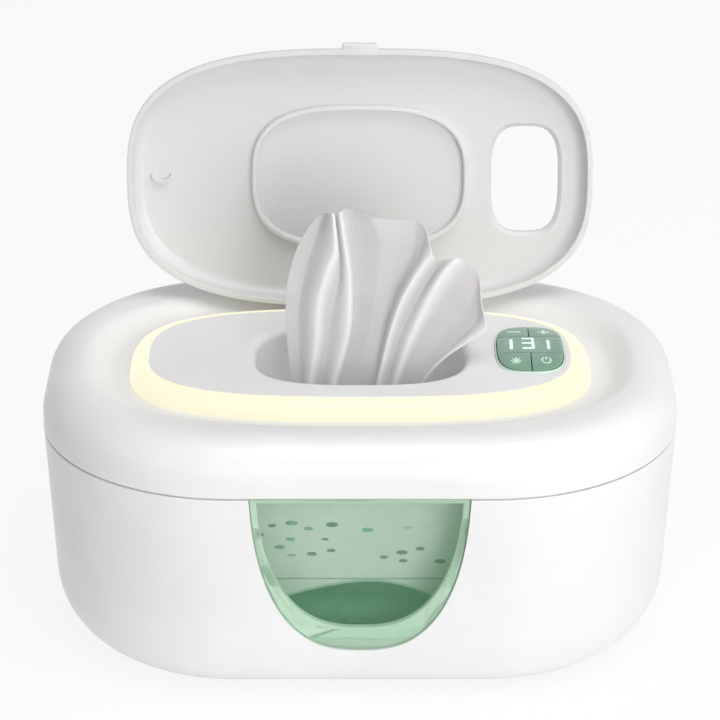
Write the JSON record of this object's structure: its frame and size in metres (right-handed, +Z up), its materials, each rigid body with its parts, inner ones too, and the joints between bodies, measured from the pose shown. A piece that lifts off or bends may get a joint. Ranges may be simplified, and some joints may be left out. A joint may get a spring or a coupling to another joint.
{
  "type": "baby wipe warmer",
  "caption": "Rounded tabletop wipe warmer with hinged lid, light ring round the dispensing opening, touch panel and front window showing the pack.",
  "frame": {"origin": "on the table under the middle of the base, between the four feet", "axes": "+X to the warmer's right as seen from the front, +Y to the back, where the hinges are, +Z up"},
  "size_m": [0.249, 0.184, 0.2183],
  "materials": {
    "body_white": "Smooth injection-moulded ABS, satin",
    "inner_white": "Moulded polypropylene, matt",
    "ring_light": "Translucent diffusing plastic, softly lit",
    "clear_green": "Clear green-tinted polycarbonate, polished",
    "frame_green": "Pale green moulded plastic, glossy",
    "key_green": "Green keys with printed marks, low gloss",
    "bezel": "Pale green rim, glossy",
    "pack_film": "Printed flow-wrap film",
    "wipe_cloth": "Non-woven wet wipe",
    "soft_seal": "Light grey silicone",
    "foot_rubber": "Grey rubber",
    "steel": "Plated steel",
    "aluminium": "Rolled aluminium sheet",
    "film_heater": "Amber polyimide film",
    "felt": "Needled insulation felt",
    "board": "Glass-fibre board with solder mask",
    "board_white": "White board with solder mask",
    "dark_plastic": "Dark moulded plastic",
    "led": "Clear cast resin",
    "ceramic_part": "Glazed ceramic case",
    "lead_red": "Silicone-insulated lead"
  },
  "bodies": {
    "base": {"base_shell": "body_white", "bottom_cover": "inner_white", "rubber_feet": "foot_rubber", "base_screws": "steel", "wipe_tub": "inner_white", "tub_screws": "steel", "heater_plate": "aluminium", "heater_film": "film_heater", "insulation_pad": "felt", "thermostat": "steel", "thermal_fuse": "ceramic_part", "heater_leads": "lead_red", "power_board": "board", "power_board_parts": "dark_plastic", "power_socket": "dark_plastic", "window_pane": "clear_green", "window_frame": "frame_green", "wipes_pack": "pack_film", "rear_hinge_pins": "steel"},
    "upper_part": {"top_housing": "body_white", "inner_cover": "inner_white", "cover_screws": "steel", "tub_gasket": "soft_seal", "throat_seal": "soft_seal", "deck_plate": "body_white", "glow_ring": "ring_light", "led_board": "board_white", "leds": "led", "panel_bezel": "bezel", "display_window": "key_green", "display_module": "dark_plastic", "control_board": "board", "board_screws": "steel", "key_switches": "dark_plastic", "lid_hinge_pin": "steel", "wipe": "wipe_cloth"},
    "lid": {"lid_shell": "body_white", "lid_seal": "soft_seal"},
    "minus_key": {"key_minus": "key_green"},
    "plus_key": {"key_plus": "key_green"},
    "light_key": {"key_light": "key_green"},
    "power_key": {"key_power": "key_green"}
  },
  "joints": [
    {"name": "upper_hinge", "type": "hinge", "parent": "base", "child": "upper_part", "pos_m": [0, 0.0909, 0.0909], "axis": [-1, 0, 0], "range_deg": [0, 75]},
    {"name": "lid_hinge", "type": "hinge", "parent": "upper_part", "child": "lid", "pos_m": [0, 0.0533, 0.10895], "axis": [1, 0, 0], "range_deg": [0, 97.7], "deforming": ["wipe"]},
    {"name": "minus_press", "type": "slide", "parent": "upper_part", "child": "minus_key", "axis": [0, 0, -1], "range_m": [0, 0.0008], "stiffness_N_per_m": 400},
    {"name": "plus_press", "type": "slide", "parent": "upper_part", "child": "plus_key", "axis": [0, 0, -1], "range_m": [0, 0.0008], "stiffness_N_per_m": 400},
    {"name": "light_press", "type": "slide", "parent": "upper_part", "child": "light_key", "axis": [0, 0, -1], "range_m": [0, 0.0008], "stiffness_N_per_m": 400},
    {"name": "power_press", "type": "slide", "parent": "upper_part", "child": "power_key", "axis": [0, 0, -1], "range_m": [0, 0.0008], "stiffness_N_per_m": 400}
  ]
}
